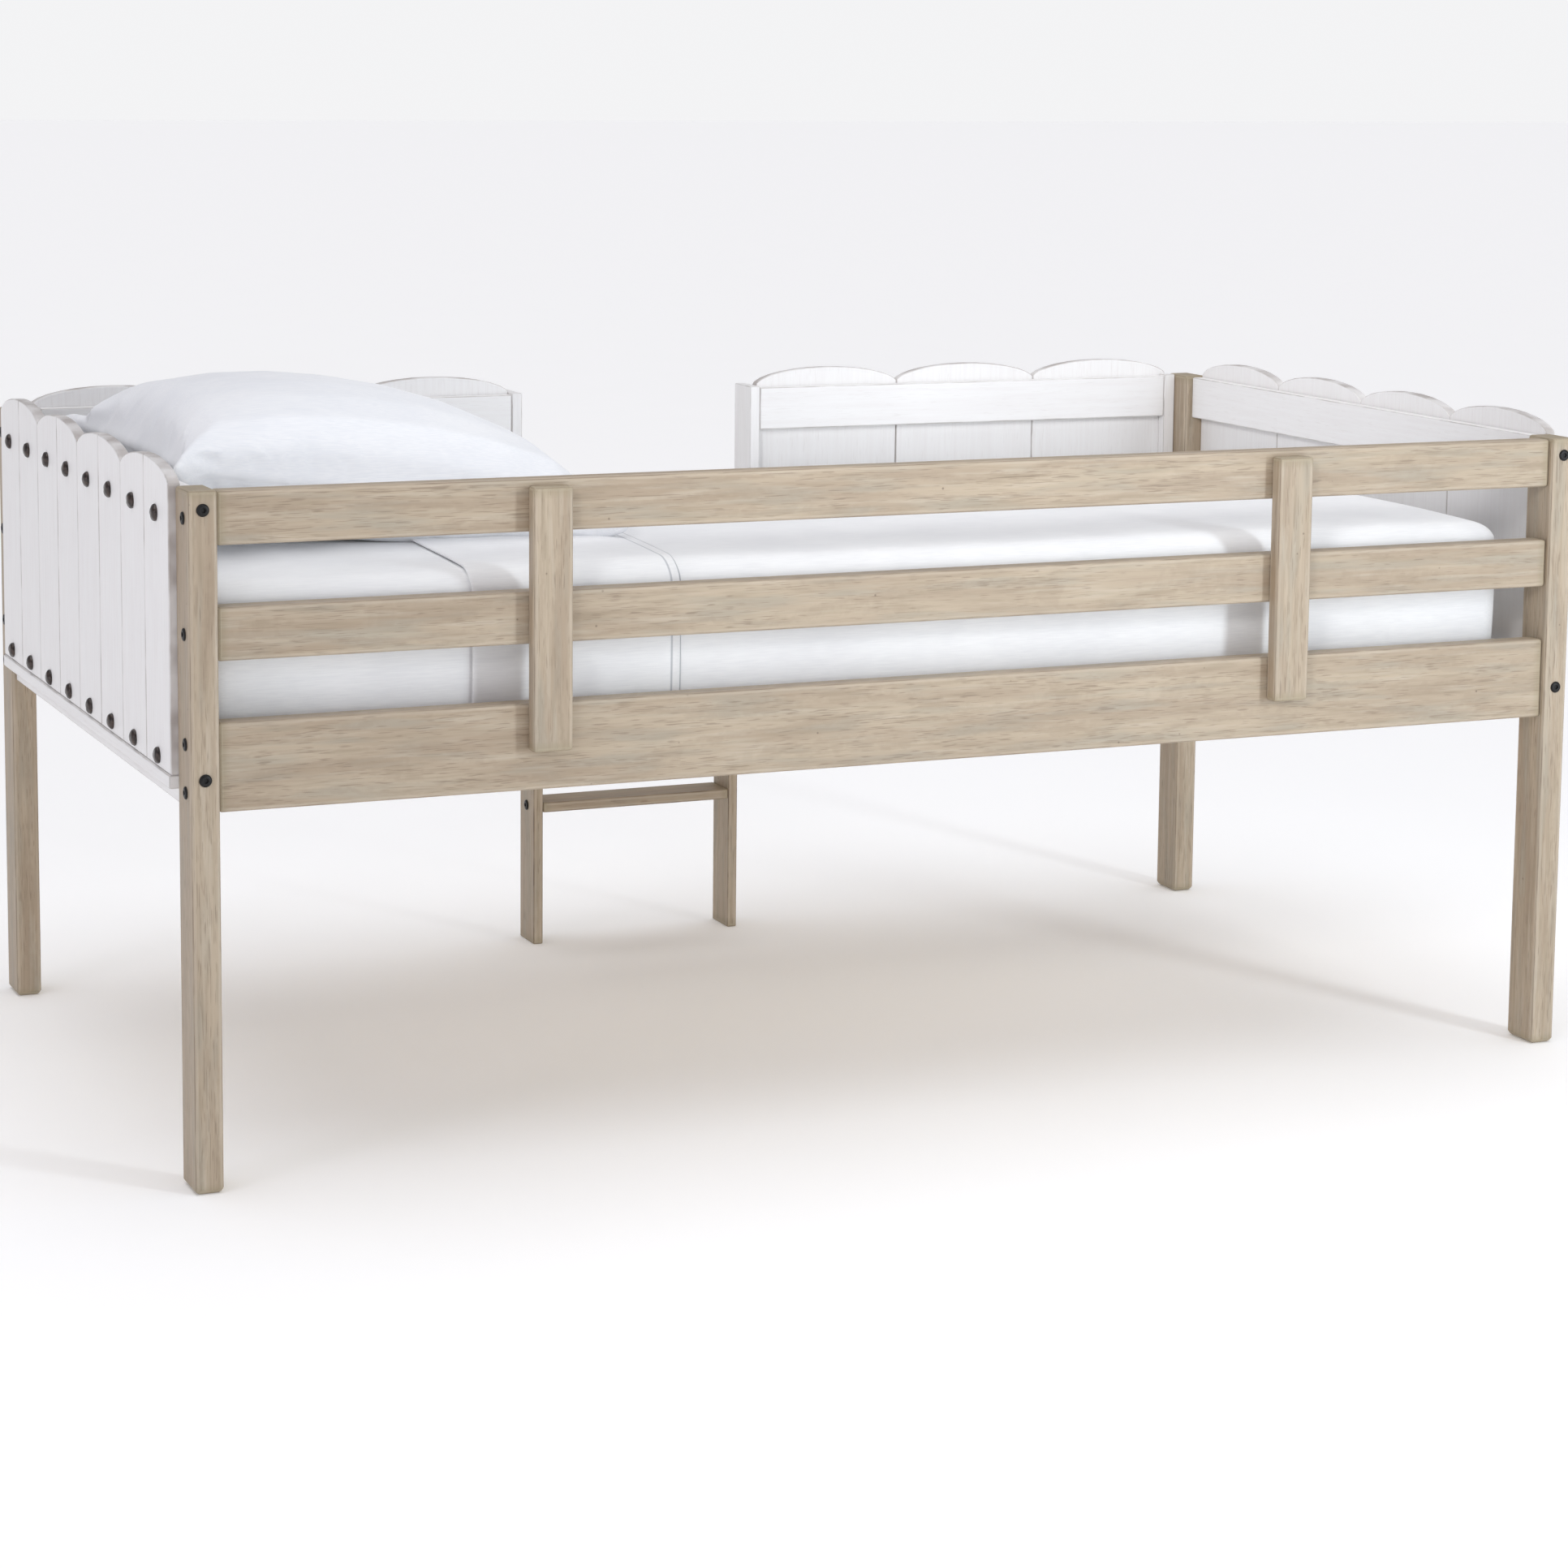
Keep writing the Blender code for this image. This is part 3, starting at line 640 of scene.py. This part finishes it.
# How far each layer lies outside the mattress's own box, and how far apart its grid lines are
CORE_INSET = 3 * MM
CORE_GRID = 60 * MM
FITTED_OFFSET = -1.6 * MM
FITTED_GRID = 22 * MM
FLAT_OFFSET = 0.8 * MM
CUFF_OFFSET = 4.6 * MM
FLAT_GRID = 18 * MM

# The fitted sheet's elastic hem: how far in under the mattress, how deeply gathered, how far it is drawn up
ELASTIC_INSET = 0.120
GATHER = 1.6 * MM
GATHER_LIFT = 1.8 * MM

# The flat sheet: where it folds back, where the cuff ends, its row of stitches inside that, how far the
# stitches sink and the edge stands up, how wide its tucks are, and how far a corner's flap stands out
FOLD_X = -0.620
HEM_X = -0.336
HEM_STITCH = 12 * MM
HEM_SINK = 2.4 * MM
HEM_LIFT = 0.8 * MM
SIDE_TUCK = 0.150
FOOT_TUCK = 0.420
CORNER_FLAP = 2.4 * MM

# The pillow's case: how far it starts inside the CAD pillow, its voxels, and the furthest it is blown out
CASE_INSET = 4 * MM
CASE_VOXEL = 7 * MM
CASE_BLOWN = 16 * MM

# Height of the case's seam over the mattress, at the head and at the foot side of the pillow
SEAM_AT_HEAD = 0.105
SEAM_AT_FOOT = 0.022

# Puckers round the case: where they and the corners' bunching begin, as shares of its half size; radians of
# ripple in one radian round the rim; heights in millimetres of a pucker, of what a corner adds, and of the
# sunk seam; and how far each of the three reaches from the seam
PUCKER_START, CORNER_START = 0.72, 0.62
PUCKER_TURNS = 46
PUCKER_HEIGHT, CORNER_HEIGHT, SEAM_DEPTH = 1.0, 3.2, 1.8
PUCKER_REACH, CORNER_REACH, SEAM_REACH = 14 * MM, 30 * MM, 2.6 * MM


def spread_lines(half, radius, step, extra=()):
    """Grid lines from -half to half: close together in the rounded edges, then about a step apart."""
    arc = [radius * (1 - math.tan(math.radians(45) * turn / 4)) for turn in range(4, 0, -1)]
    flat = 2 * (half - radius)
    count = max(2, round(flat / step))
    inner = [-half + radius + flat * line / count for line in range(count + 1)]
    inner = [line for line in inner if all(abs(line - other) > step * 0.4 for other in extra)]
    return sorted([-half + a for a in arc] + inner + list(extra) + [half - a for a in arc])


def soft_box(half, radius, lines):
    """A closed box with every edge rounded, about its middle, from grid lines along each axis."""
    shape = bmesh.new()
    found = {}

    def corner(spot):
        key = tuple(round(c, 6) for c in spot)
        if key not in found:
            core = Vector([max(-h + radius, min(h - radius, c)) for c, h in zip(spot, half)])
            out = Vector(spot) - core
            found[key] = shape.verts.new(core + out.normalized() * radius)
        return found[key]

    for axis in range(3):
        first, second = [a for a in range(3) if a != axis]
        for sign in (-1, 1):
            for a0, a1 in zip(lines[first], lines[first][1:]):
                for b0, b1 in zip(lines[second], lines[second][1:]):
                    spots = []
                    for a, b in ((a0, b0), (a1, b0), (a1, b1), (a0, b1)):
                        spot = [0, 0, 0]
                        spot[axis], spot[first], spot[second] = sign * half[axis], a, b
                        spots.append(corner(spot))
                    shape.faces.new(spots if (sign > 0) == (axis != 1) else spots[::-1])
    return shape


def sag(spot, normal, wrinkle=1.0):
    """Where made-up bedding lies, for a point on the mattress's box: crowned on top, a little full at the
    sides, with slow dips and soft creases in the cloth."""
    x, y = spot.x / MATTRESS_HALF.x, spot.y / MATTRESS_HALF.y
    out = spot.copy()
    upper = max(0.0, normal.z)
    across = max(0.0, 1 - y * y) ** 0.7 * max(0.0, 1 - x**8)
    out.z -= CROWN * upper * (1 - across)
    flank = max(0.0, 1 - abs(normal.z)) * (1 - (spot.z / MATTRESS_HALF.z) ** 2)
    out += Vector((normal.x, normal.y, 0)) * FLANK_FULLNESS * flank
    slow = noise.noise(Vector((spot.x * 2.6, spot.y * 3.4, 4.0)))
    out.z += DIP_DEPTH * slow * upper
    folds = noise.noise(Vector((spot.x * 11.0, spot.y * 2.0 + spot.z * 1.5, 9.0)))
    cross = noise.noise(Vector((spot.x * 5.0 + spot.y * 8.0, spot.y * 14.0 - spot.x * 3.0, 17.0)))
    creases = max(0.0, folds) ** 1.5 * 3.0 + max(0.0, cross) ** 2 * 3.0 * upper
    out += normal * creases * MM * wrinkle
    return out


def laid_over(step, offset, keep, extra=()):
    """Cloth lying over the mattress at an offset, on a grid with extra lines across it at some places along
    the bed, keeping only the faces whose middle is to be kept."""
    half = [h + offset for h in MATTRESS_HALF]
    radius = EDGE_ROUND + offset
    extras = ([x - MATTRESS_MIDDLE.x for x in extra], (), ())
    lines = [spread_lines(h, radius, step, more) for h, more in zip(half, extras)]
    shape = soft_box(half, radius, lines)
    shape.normal_update()
    moves = [(vert, sag(vert.co, vert.normal.copy())) for vert in shape.verts]
    gone = [face for face in shape.faces if not keep(face.calc_center_median(), face.normal)]
    for vert, spot in moves:
        vert.co = spot
    bmesh.ops.delete(shape, geom=gone, context="FACES")
    return shape


def thicken(obj, thickness):
    """Gives a cloth its thickness and smooths it."""
    solid = obj.modifiers.new("thickness", "SOLIDIFY")
    solid.thickness = thickness
    solid.offset = 1.0
    smooth_once(obj)


def smooth_once(obj):
    """Divides every face in four, smoothly."""
    smooth = obj.modifiers.new("smooth", "SUBSURF")
    smooth.levels = smooth.render_levels = 1
    settle(obj)


def settle(obj):
    """Replaces a piece's mesh with its evaluated one, so that no modifier is left."""
    graph = bpy.context.evaluated_depsgraph_get()
    mesh = bpy.data.meshes.new_from_object(obj.evaluated_get(graph))
    obj.modifiers.clear()
    obj.data = mesh
    mesh.polygons.foreach_set("use_smooth", [True] * len(mesh.polygons))


def mattress():
    """The mattress itself, in its quilted ticking, with rounded edges and a crowned top."""
    half = [h - CORE_INSET for h in MATTRESS_HALF]
    radius = EDGE_ROUND - CORE_INSET
    lines = [spread_lines(h, radius, CORE_GRID) for h in half]
    shape = soft_box(half, radius, lines)
    shape.normal_update()
    for vert, spot in [(v, sag(v.co, v.normal.copy(), 0.0)) for v in shape.verts]:
        vert.co = spot
    bmesh.ops.translate(shape, verts=shape.verts, vec=MATTRESS_MIDDLE)
    core = show("mattress_core", shape, quilted_ticking(), "mattress")
    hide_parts("mattress")


def fitted_sheet(cotton):
    """The fitted sheet, pulled over the whole mattress, with its elastic hem gathered under it."""
    inner = MATTRESS_HALF - Vector((ELASTIC_INSET, ELASTIC_INSET, 0))

    def keep(spot, normal):
        under = normal.z < -0.5
        inside = abs(spot.x) < inner.x and abs(spot.y) < inner.y
        return not (under and inside)

    shape = laid_over(FITTED_GRID, FITTED_OFFSET, keep)
    for vert in shape.verts:
        if vert.is_boundary:
            gather = math.sin((vert.co.x + vert.co.y * 1.3) * 260)
            vert.co += Vector((0, 0, GATHER * gather + GATHER_LIFT))
    bmesh.ops.translate(shape, verts=shape.verts, vec=MATTRESS_MIDDLE)
    sheet = show("fitted_sheet", shape, cotton, "mattress")
    thicken(sheet, 0.8 * MM)


def flat_sheet(cotton):
    """The flat sheet: tucked under both sides and the foot with hospital corners, its head end turned back
    over itself in a cuff with a stitched hem."""
    places = (FOLD_X, FOLD_X + 5 * MM, HEM_X - HEM_STITCH - 3 * MM, HEM_X - HEM_STITCH, HEM_X)
    fold, hem = FOLD_X - MATTRESS_MIDDLE.x, HEM_X - MATTRESS_MIDDLE.x

    def tucked(spot, normal):
        if normal.z > -0.5:
            return True
        under_foot = spot.x > MATTRESS_HALF.x - FOOT_TUCK
        return under_foot or abs(spot.y) > MATTRESS_HALF.y - SIDE_TUCK

    def body_part(spot, normal):
        return spot.x > fold and tucked(spot, normal)

    def cuff_part(spot, normal):
        return fold < spot.x < hem and tucked(spot, normal)

    shape = laid_over(FLAT_GRID, FLAT_OFFSET, body_part, places)
    for vert in shape.verts:
        # The hospital corner: a flap folded down from the top edge at nearly 45 degrees
        side = abs(vert.co.y) > MATTRESS_HALF.y - 12 * MM and vert.co.z < MATTRESS_HALF.z - 20 * MM
        drop = MATTRESS_HALF.z - vert.co.z
        run = MATTRESS_HALF.x - vert.co.x
        if side and run < 0.05 + drop * 0.9:
            vert.co.y += math.copysign(CORNER_FLAP, vert.co.y)
    cuff = laid_over(FLAT_GRID, CUFF_OFFSET, cuff_part, places)
    for vert in cuff.verts:
        if abs(vert.co.x - hem + HEM_STITCH) < 1 * MM:
            vert.co -= vert.normal * HEM_SINK
        if abs(vert.co.x - hem) < 2 * MM:
            vert.co += vert.normal * HEM_LIFT
    layer = bpy.data.meshes.new("cuff_layer")
    cuff.to_mesh(layer)
    cuff.free()
    shape.from_mesh(layer)
    bpy.data.meshes.remove(layer)
    open_edges = [
        edge
        for edge in shape.edges
        if edge.is_boundary and all(abs(vert.co.x - fold) < 2 * MM for vert in edge.verts)
    ]
    bmesh.ops.bridge_loops(shape, edges=open_edges)
    bmesh.ops.recalc_face_normals(shape, faces=shape.faces)
    bmesh.ops.translate(shape, verts=shape.verts, vec=MATTRESS_MIDDLE)
    sheet = show("flat_sheet", shape, cotton, "mattress")
    thicken(sheet, 0.7 * MM)


def pillow(cotton):
    """The pillow in its case, filled by blowing up a slightly smaller, slightly loose case."""
    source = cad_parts["pillow"]
    mesh = source.data.copy()
    case = bpy.data.objects.new("pillow_in_case", mesh)
    bpy.context.scene.collection.objects.link(case)
    mesh.materials.clear()
    shape = bmesh.new()
    shape.from_mesh(mesh)
    bmesh.ops.remove_doubles(shape, verts=shape.verts, dist=0.01 * MM)
    shape.normal_update()
    for vert, normal in [(v, v.normal.copy()) for v in shape.verts]:
        vert.co -= normal * CASE_INSET
    shape.to_mesh(mesh)
    shape.free()
    remesh = case.modifiers.new("remesh", "REMESH")
    remesh.mode = "VOXEL"
    remesh.voxel_size = CASE_VOXEL
    settle(case)
    blow_up(case, pressure=4.0, frames=20, furthest=CASE_BLOWN, looseness=0.05)
    smooth_once(case)
    stitch_rim(case.data)
    case.data.materials.append(cotton)
    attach(case, "pillow")
    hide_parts("pillow")


def stitch_rim(mesh):
    """The case's seam round the rim, as a narrow sunk line, with puckers running from it, deepest where the
    loose cloth bunches at the corners."""
    low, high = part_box("pillow")
    middle = (low + high) / 2
    half = (high - low) / 2
    normals = [vert.normal.copy() for vert in mesh.vertices]
    for vert, out in zip(mesh.vertices, normals):
        along = (vert.co.x - low.x) / (high.x - low.x)
        seam_z = low.z + SEAM_AT_HEAD + (SEAM_AT_FOOT - SEAM_AT_HEAD) * along
        off = abs(vert.co.z - seam_z)
        u = (vert.co.x - middle.x) / half.x
        v = (vert.co.y - middle.y) / half.y
        rim = max(abs(u), abs(v))
        if rim < PUCKER_START:
            continue
        corner = max(0.0, min(abs(u), abs(v)) - CORNER_START) / (1 - CORNER_START)
        around = math.atan2(v, u) * PUCKER_TURNS
        ripple = math.sin(around + 2.5 * noise.noise(vert.co * 14))
        fade = math.exp(-off / (PUCKER_REACH + CORNER_REACH * corner))
        outer = (rim - PUCKER_START) / (1 - PUCKER_START)
        pucker = (PUCKER_HEIGHT + CORNER_HEIGHT * corner) * ripple * fade * outer
        sunk = SEAM_DEPTH * math.exp(-((off / SEAM_REACH) ** 2))
        vert.co += out * (pucker - sunk) * MM


def blow_up(obj, pressure, frames, furthest, looseness):
    """Runs cloth with pressure on a closed mesh, then caps how far each point moved."""
    start = [v.co.copy() for v in obj.data.vertices]
    cloth = obj.modifiers.new("cloth", "CLOTH")
    cloth.settings.use_pressure = True
    cloth.settings.uniform_pressure_force = pressure
    cloth.settings.shrink_min = -looseness
    cloth.settings.tension_stiffness = 15
    cloth.settings.compression_stiffness = 15
    cloth.settings.bending_stiffness = 0.3
    cloth.settings.effector_weights.gravity = 0
    cloth.point_cache.frame_start = 1
    cloth.point_cache.frame_end = frames
    scene = bpy.context.scene
    for number in range(1, frames + 1):
        scene.frame_set(number)
    settle(obj)
    scene.frame_set(1)
    for vert, before in zip(obj.data.vertices, start):
        move = vert.co - before
        if move.length > furthest:
            vert.co = before + move * (furthest / move.length)


def bedding():
    """Mattress, both sheets and the pillow. The flat sheet's cotton also has its hem's stitch row and the
    shade under its edge painted in.
    """
    cotton = percale_cotton("bleached_percale_sheet", "#F4F5F6", "#ECEDEF")
    mattress()
    fitted_sheet(cotton)
    flat_sheet(percale_cotton("bleached_percale_flat_sheet", "#F4F5F6", "#ECEDEF", HEM_X))
    pillow(percale_cotton("bleached_percale_pillowcase", "#F5F6F8", "#ECEEF2"))


# ---------------------------------------------------------------- setting

FLOOR_REACH = 60.0

# Light from all round: bright near the horizon, greyer above and below it
WORLD_LOW, WORLD_HIGH = (0.90, 0.90, 0.91, 1.0), (0.33, 0.327, 0.35, 1.0)


def camera():
    """The camera, at its place, turned by its yaw, pitch and roll."""
    data = bpy.data.cameras.new("camera")
    data.lens = CAMERA_LENS
    data.sensor_width = 36.0
    data.shift_y = CAMERA_SHIFT
    data.clip_start, data.clip_end = 0.1, 200.0
    obj = bpy.data.objects.new("camera", data)
    bpy.context.scene.collection.objects.link(obj)
    ahead = Vector(
        (
            math.sin(CAMERA_YAW) * math.cos(CAMERA_PITCH),
            math.cos(CAMERA_YAW) * math.cos(CAMERA_PITCH),
            -math.sin(CAMERA_PITCH),
        )
    )
    level = Vector((math.cos(CAMERA_YAW), -math.sin(CAMERA_YAW), 0))
    upward = level.cross(ahead)
    right = math.cos(CAMERA_ROLL) * level + math.sin(CAMERA_ROLL) * upward
    top = math.cos(CAMERA_ROLL) * upward - math.sin(CAMERA_ROLL) * level
    turn = Matrix((right, top, -ahead)).transposed()
    obj.matrix_world = Matrix.Translation(CAMERA_AT) @ turn.to_4x4()
    bpy.context.scene.camera = obj


def floor():
    """A wide floor of background paper."""
    shape = bmesh.new()
    bmesh.ops.create_grid(shape, x_segments=8, y_segments=8, size=FLOOR_REACH)
    mesh = bpy.data.meshes.new("studio_floor")
    shape.to_mesh(mesh)
    shape.free()
    mesh.materials.append(studio_paper())
    obj = bpy.data.objects.new("studio_floor", mesh)
    bpy.context.scene.collection.objects.link(obj)


def lamp(name, kind, at, aim, energy, hex_colour, **settings):
    """A light at a place, turned to a point."""
    data = bpy.data.lights.new(name, kind)
    data.energy = energy
    data.color = linear(hex_colour)[:3]
    for setting, value in settings.items():
        setattr(data, setting, value)
    obj = bpy.data.objects.new(name, data)
    bpy.context.scene.collection.objects.link(obj)
    obj.location = at
    obj.rotation_euler = (Vector(aim) - Vector(at)).to_track_quat("-Z", "Y").to_euler()


def studio():
    """A white room: soft light from all round, a wide sun overhead, a tall strip softbox at the front right,
    a weak wide fill at the front left, and a soft spot on the inside of the foot panel."""
    bpy.context.scene.view_settings.view_transform = "Standard"
    world = bpy.data.worlds.new("white_room")
    bpy.context.scene.world = world
    world.use_nodes = True
    tree = world.node_tree
    back = tree.nodes["Background"]
    way = add(tree, "TexCoord").outputs["Generated"]
    steepness = maths(tree, "ABSOLUTE", add(tree, "SeparateXYZ", {0: way}).outputs[2])
    tone = blend(tree, remap(tree, steepness, 0.02, 0.20), WORLD_LOW, WORLD_HIGH)
    tree.links.new(tone, back.inputs["Color"])
    back.inputs["Strength"].default_value = 1.0
    lamp("overhead", "SUN", (0, 0, 6), (0, 0, 0), 1.45, "#FFFFFF", angle=math.radians(70))
    tall = {"shape": "RECTANGLE", "size": 0.5, "size_y": 2.4}
    lamp("strip_softbox", "AREA", (2.2, -4.1, 1.5), (0.0, -0.2, 0.8), 80, "#EEF6FC", **tall)
    wide = {"shape": "RECTANGLE", "size": 0.9, "size_y": 1.8}
    lamp("side_fill", "AREA", (-4.2, -2.2, 1.6), (-0.5, 0, 0.6), 14, "#F2ECFF", **wide)
    round_beam = {"spot_size": math.radians(24), "spot_blend": 1.0, "shadow_soft_size": 0.6}
    lamp("foot_spot", "SPOT", (-2.5, -3.2, 2.6), (0.88, 0.34, 0.76), 400, "#FFFFFF", **round_beam)


camera()
studio()
floor()
finish_timber()
nails()
bolts()
screws()
bedding()
